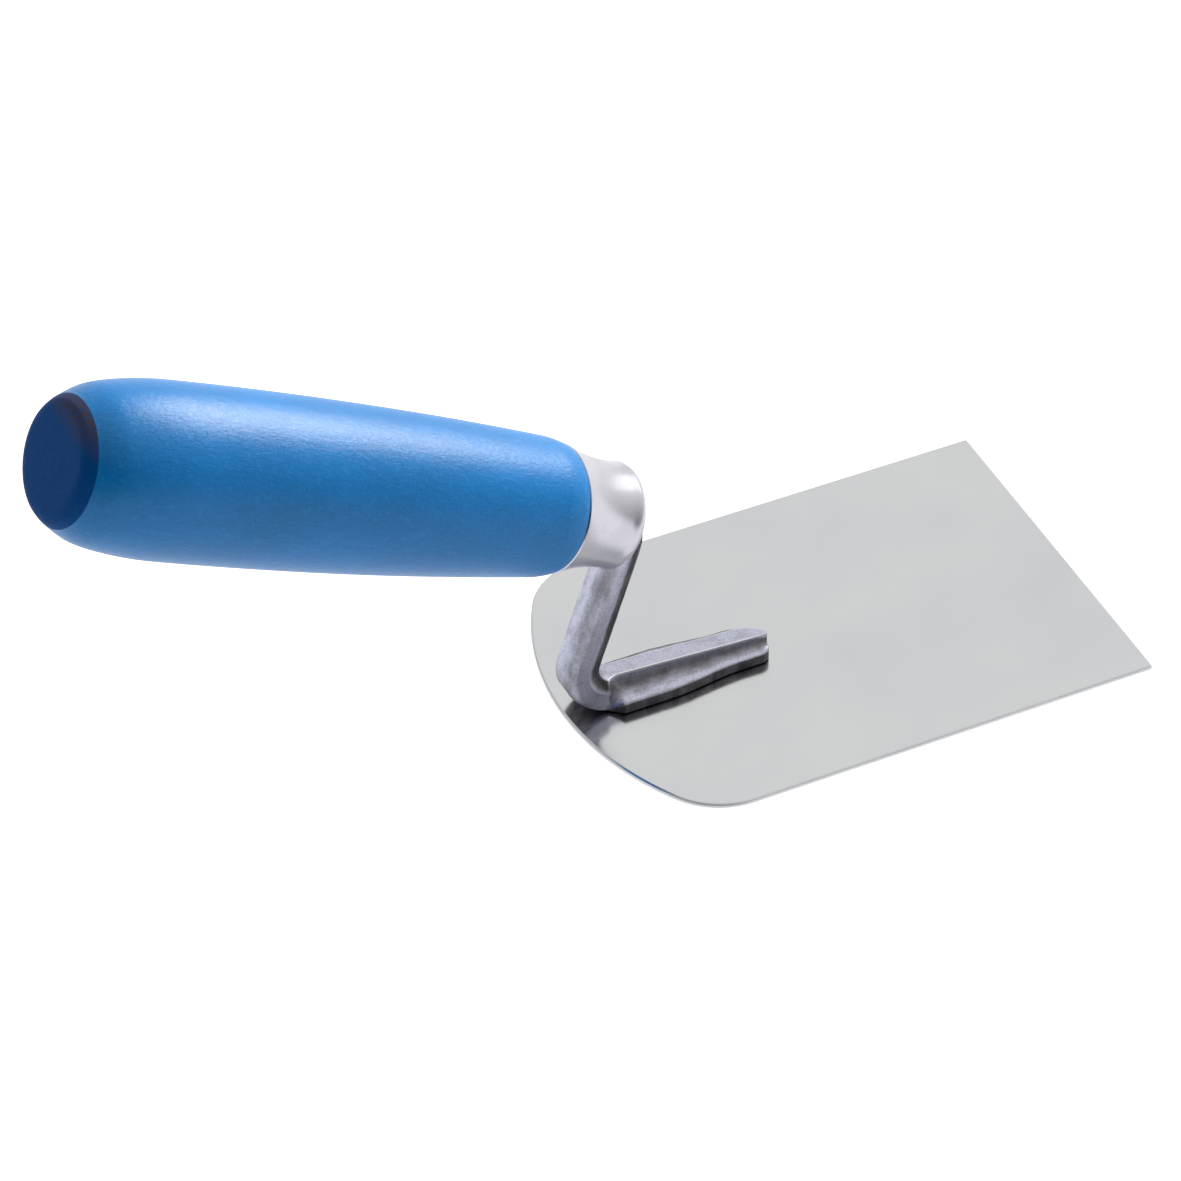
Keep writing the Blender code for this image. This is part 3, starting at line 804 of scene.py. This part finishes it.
def turned_place(tree):
    """Where a point lies from the seam: Z back along the handle, X towards its upper side."""
    middle = shoulder() + handle_way() * HANDLE_SETBACK
    return add(tree, "ShaderNodeMapping", {
        "Vector": add(tree, "ShaderNodeTexCoord").outputs["Object"],
        "Location": Vector((middle.x, 0.0, middle.y)) * MM,
        "Rotation": (0.0, HANDLE_RISE - QUARTER, 0.0),
    }, vector_type="TEXTURE").outputs[0]


def pattern(tree, place, sizes_mm, detail=4.0, roughness=0.55):
    """Noise whose grains have the given sizes in millimetres along X, Y and Z."""
    scale = tuple(1.0 / (size * MM) for size in sizes_mm)
    stretched = add(tree, "ShaderNodeMapping", {"Vector": place, "Scale": scale})
    return add(tree, "ShaderNodeTexNoise", {
        "Vector": stretched.outputs[0], "Scale": 1.0, "Detail": detail, "Roughness": roughness,
    }).outputs["Fac"]


def bumped(tree, height, depth_mm, under=None):
    """A surface raised by a pattern, over another such surface if one is given."""
    sockets = {"Height": height, "Distance": depth_mm * MM, "Strength": 1.0}
    if under:
        sockets["Normal"] = under
    return add(tree, "ShaderNodeBump", sockets).outputs[0]


def polished_stainless():
    """Cold-rolled stainless sheet, ground and buffed: a light, slightly soft mirror."""
    made, tree, shader = new_finish("polished_stainless")
    place = add(tree, "ShaderNodeTexCoord").outputs["Object"]
    # Buffing lines are about 0.05 mm apart, drawn at 0.5 mm so that they show at all.
    lines = pattern(tree, place, (24.0, 0.5, 1.0), 3.0)
    smears = pattern(tree, place, (38.0, 26.0, 10.0), 3.0)
    specks = pattern(tree, place, (1.6, 1.1, 1.0), 5.0, 0.7)
    tone = mixed(
        tree, spread(tree, smears, 0.35, 0.7, 0.0, 1.0), linear("#D3D4D6"), linear("#CDCFD3")
    )
    tone = mixed(tree, spread(tree, specks, 0.66, 0.8, 0.0, 0.35), tone, linear("#AEB1B5"))
    rough = spread(tree, smears, 0.3, 0.7, 0.17, 0.23)
    tree.links.new(tone, shader.inputs["Base Color"])
    tree.links.new(rough, shader.inputs["Roughness"])
    tree.links.new(bumped(tree, lines, 0.0006), shader.inputs["Normal"])
    shader.inputs["Metallic"].default_value = 1.0
    return made


def forged_carbon_steel():
    """Drop-forged carbon steel, barrel-tumbled: soft grey, with painted highlights on its edges and
    painted shade in its hollows and on faces turned from the lights.
    """
    made, tree, shader = new_finish("forged_carbon_steel")
    place = add(tree, "ShaderNodeTexCoord").outputs["Object"]
    # The attribute holds painted light: below nought a painted highlight, above nought painted
    # shade.
    left = add(tree, "ShaderNodeAttribute", attribute_name="painted_light").outputs["Fac"]
    scale = pattern(tree, place, (3.2, 2.2, 5.0), 6.0, 0.62)
    # Tumbling leaves a peened skin of about 0.15 mm, drawn at 0.4 mm so that it shows.
    grit = pattern(tree, place, (0.4, 0.4, 0.4), 4.0, 0.65)
    ragged = spread(tree, scale, 0.3, 0.7, -0.22, 0.22)
    uneven = add(tree, "ShaderNodeMath", {0: left, 1: ragged}).outputs[0]
    tone = mixed(
        tree, spread(tree, scale, 0.45, 0.72, 0.0, 0.6), linear("#C2C4D6"), linear("#A4A5B6")
    )
    # Painted shade, with random mottle from the ragged noise: grey, and near black on the darkest
    # faces.
    tone = mixed(tree, spread(tree, uneven, 0.1, 0.9, 0.0, 1.0), tone, linear("#817F83"))
    tone = mixed(tree, spread(tree, uneven, 0.9, 1.25, 0.0, 1.0), tone, linear("#48474B"))
    tone = mixed(tree, spread(tree, grit, 0.5, 0.7, 0.0, 0.55), tone, linear("#64605F"))
    # A painted highlight: near white where the attribute is below nought.
    tone = mixed(tree, spread(tree, left, -0.25, -0.7, 0.0, 1.0), tone, linear("#F4F5F8"))
    rough = spread(tree, uneven, 0.0, 1.0, 0.34, 0.52)
    low = bumped(tree, scale, 0.03)
    tree.links.new(tone, shader.inputs["Base Color"])
    tree.links.new(rough, shader.inputs["Roughness"])
    tree.links.new(bumped(tree, grit, 0.03, low), shader.inputs["Normal"])
    shader.inputs["Metallic"].default_value = 1.0
    return made


def nickelled_steel():
    """Pressed steel cup, polished as it turns, with a nickel flash: warm white, faintly ringed."""
    made, tree, shader = new_finish("nickelled_steel")
    place = turned_place(tree)
    # Polishing marks are about 0.1 mm apart, drawn at 0.35 mm so that they show.
    rings = pattern(tree, place, (60.0, 60.0, 0.35), 2.0)
    smears = pattern(tree, place, (7.0, 7.0, 9.0), 4.0)
    tone = mixed(
        tree, spread(tree, smears, 0.4, 0.7, 0.0, 1.0), linear("#CFCED6"), linear("#C5C4CE")
    )
    tree.links.new(tone, shader.inputs["Base Color"])
    tree.links.new(spread(tree, smears, 0.3, 0.7, 0.25, 0.31), shader.inputs["Roughness"])
    tree.links.new(bumped(tree, rings, 0.003), shader.inputs["Normal"])
    shader.inputs["Metallic"].default_value = 1.0
    return made


def blue_painted_beech():
    """Turned beech under two coats of alkyd paint: satin blue, its grain just showing through."""
    made, tree, shader = new_finish("blue_painted_beech")
    place = turned_place(tree)
    # Beech pores are 0.1 mm wide and some 2 mm long, drawn 0.4 by 3 mm so that they show.
    pores = pattern(tree, place, (0.4, 0.4, 3.0), 4.0, 0.65)
    # The stipple that a brush leaves in the second coat is about a millimetre across.
    stipple = pattern(tree, place, (0.9, 0.9, 1.2), 5.0, 0.7)
    cloud = pattern(tree, place, (14.0, 14.0, 30.0), 3.0)
    tone = mixed(
        tree, spread(tree, cloud, 0.35, 0.65, 0.0, 1.0), linear("#006FB0"), linear("#0077BE")
    )
    tone = mixed(tree, spread(tree, pores, 0.45, 0.75, 0.0, 0.5), tone, linear("#005A9E"))
    tone = mixed(tree, spread(tree, stipple, 0.55, 0.75, 0.0, 0.45), tone, linear("#2C97D6"))
    rough = spread(tree, stipple, 0.3, 0.75, 0.27, 0.4)
    low = bumped(tree, pores, 0.04)
    tree.links.new(tone, shader.inputs["Base Color"])
    tree.links.new(rough, shader.inputs["Roughness"])
    tree.links.new(bumped(tree, stipple, 0.085, low), shader.inputs["Normal"])
    shader.inputs["IOR"].default_value = 1.5
    shader.inputs["Specular IOR Level"].default_value = 0.28
    return made


def butt_end_painted_shade():
    """The sawn end of the grip in a darker copy of the blue paint, painted shade as the end faces
    away from the lights; flat and a bit scuffed.
    """
    made, tree, shader = new_finish("butt_end_painted_shade")
    place = turned_place(tree)
    fibres = pattern(tree, place, (0.5, 0.5, 6.0), 5.0, 0.7)
    scuffs = pattern(tree, place, (2.2, 1.0, 3.0), 5.0, 0.6)
    # Dark navy blue: painted shade on the blue paint.
    tone = mixed(
        tree, spread(tree, fibres, 0.4, 0.75, 0.0, 0.6), linear("#004687"), linear("#00386E")
    )
    tone = mixed(tree, spread(tree, scuffs, 0.68, 0.76, 0.0, 0.35), tone, linear("#3E7FB0"))
    # Set down on its butt, the upper edge has rubbed through to the brown of the wood.
    apart = add(tree, "ShaderNodeSeparateXYZ", {0: place})
    rubbed = spread(tree, apart.outputs[0], 7.0 * MM, 11.5 * MM, 0.0, 1.0)
    patchy = spread(tree, fibres, 0.36, 0.56, 0.0, 0.9)
    worn = add(tree, "ShaderNodeMath", {0: rubbed, 1: patchy}, operation="MULTIPLY").outputs[0]
    tone = mixed(tree, worn, tone, linear("#4A3D35"))
    tree.links.new(tone, shader.inputs["Base Color"])
    tree.links.new(spread(tree, scuffs, 0.3, 0.7, 0.5, 0.65), shader.inputs["Roughness"])
    tree.links.new(bumped(tree, fibres, 0.03), shader.inputs["Normal"])
    shader.inputs["IOR"].default_value = 1.5
    shader.inputs["Specular IOR Level"].default_value = 0.05
    return made


def weld_steel():
    """Resistance-weld nuggets: steel that has run and set again, blue-grey and finely pitted."""
    made, tree, shader = new_finish("weld_steel")
    place = add(tree, "ShaderNodeTexCoord").outputs["Object"]
    pits = pattern(tree, place, (0.4, 0.4, 0.4), 4.0, 0.6)
    heat = pattern(tree, place, (2.5, 2.5, 2.5), 2.0)
    tone = mixed(
        tree, spread(tree, heat, 0.35, 0.65, 0.0, 1.0), linear("#77787F"), linear("#5D6675")
    )
    tree.links.new(tone, shader.inputs["Base Color"])
    tree.links.new(spread(tree, pits, 0.3, 0.7, 0.4, 0.6), shader.inputs["Roughness"])
    tree.links.new(bumped(tree, pits, 0.03), shader.inputs["Normal"])
    shader.inputs["Metallic"].default_value = 1.0
    return made


# ---------------------------------------------------------------- studio


def studio_floor():
    """A white table top that glows, more to the camera, so that it hardly takes a shadow."""
    corners = ((-1, -1), (1, -1), (1, 1), (-1, 1))
    points = [(TABLE_REACH * x, TABLE_REACH * y, -TABLE_DROP) for x, y in corners]
    made, tree, shader = new_finish("white_table")
    shader.inputs["Base Color"].default_value = linear("#F2F2F2")
    shader.inputs["Roughness"].default_value = 0.8
    shader.inputs["Specular IOR Level"].default_value = 0.1
    shader.inputs["Emission Color"].default_value = linear("#FFFFFF")
    seen = add(tree, "ShaderNodeLightPath").outputs["Is Camera Ray"]
    glow = spread(tree, seen, 0.0, 1.0, TABLE_GLOW, TABLE_GLOW_SEEN)
    tree.links.new(glow, shader.inputs["Emission Strength"])
    floor = piece_from("table_top", mesh_from("table_top", points, [(0, 1, 2, 3)]), made)


def studio_walls():
    """Walls that light the tool from one side and above, and are plain white to the camera."""
    world = bpy.data.worlds.new("studio")
    bpy.context.scene.world = world
    world.use_nodes = True
    tree = world.node_tree
    sky = tree.nodes["Background"]
    way = add(tree, "ShaderNodeTexCoord").outputs["Generated"]
    sockets = {0: way, 1: BRIGHT_WALL}
    facing = add(tree, "ShaderNodeVectorMath", sockets, operation="DOT_PRODUCT").outputs["Value"]
    share = spread(tree, facing, -0.25, 0.7, 0.0, 1.0)
    tone = mixed(tree, share, linear("#2A2E3C"), linear("#FAFAF8"))
    seen = add(tree, "ShaderNodeLightPath").outputs["Is Camera Ray"]
    tree.links.new(mixed(tree, seen, tone, linear("#FFFFFF")), sky.inputs["Color"])
    sky.inputs["Strength"].default_value = 1.0


def softbox(name, way, distance, width, height, radiance, only=None):
    """A soft rectangular light, set off from the tool; only is the one piece that it may light."""
    light = bpy.data.lights.new(name, "AREA")
    light.shape = "RECTANGLE"
    light.size, light.size_y = width, height
    light.energy = radiance * math.pi * width * height
    lamp = bpy.data.objects.new(name, light)
    bpy.context.scene.collection.objects.link(lamp)
    way = Vector(way).normalized()
    lamp.location = TOOL_MIDDLE + way * distance
    lamp.rotation_euler = way.to_track_quat("Z", "Y").to_euler()
    lamp.visible_camera = False
    if only:
        lit = bpy.data.collections.new(name + "_lights")
        lit.objects.link(only)
        lamp.light_linking.receiver_collection = lit


def studio_camera():
    """A long lens, a little over a metre and a half from the tool and looking down on it."""
    data = bpy.data.cameras.new("camera")
    data.sensor_width = 36.0
    data.lens = 228.62
    data.clip_start, data.clip_end = 0.1, 20.0
    camera = bpy.data.objects.new("camera", data)
    bpy.context.scene.collection.objects.link(camera)
    right = Vector((0.898989, -0.437970, 0.0))
    up = Vector((0.286334, 0.587737, 0.756688))
    back = Vector((-0.331407, -0.680255, 0.653776))
    turn = Matrix((right, up, back)).transposed().to_4x4()
    camera.matrix_world = Matrix.Translation((-0.57463, -1.07037, 1.06087)) @ turn
    bpy.context.scene.camera = camera


def build():
    studio_floor()
    studio_walls()
    way = (0.8597, 0.2563, 0.4408)
    softbox("key_light", way, distance=1.3, width=0.7, height=0.7, radiance=0.9)
    studio_camera()
    bpy.context.scene.view_settings.view_transform = "Standard"

    made = (
        (make_blade(polished_stainless()), "blade", "blade_steel"),
        (make_shank(forged_carbon_steel()), "shank", "forged_steel"),
        (make_ferrule(nickelled_steel()), "ferrule", "ferrule_steel"),
        (make_handle(blue_painted_beech(), butt_end_painted_shade()), "handle", "painted_wood"),
    )
    way, grip = (0.80, 0.34, 0.48), made[3][0]
    softbox("grip_light", way, distance=1.5, width=0.8, height=0.22, radiance=46.0, only=grip)
    for piece, node, slot in made:
        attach(piece, "root")
        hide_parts(node)
    welds = weld_steel()
    for name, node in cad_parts.items():
        if name.startswith("weld_nugget"):
            node.data.materials.clear()
            node.data.materials.append(welds)


build()
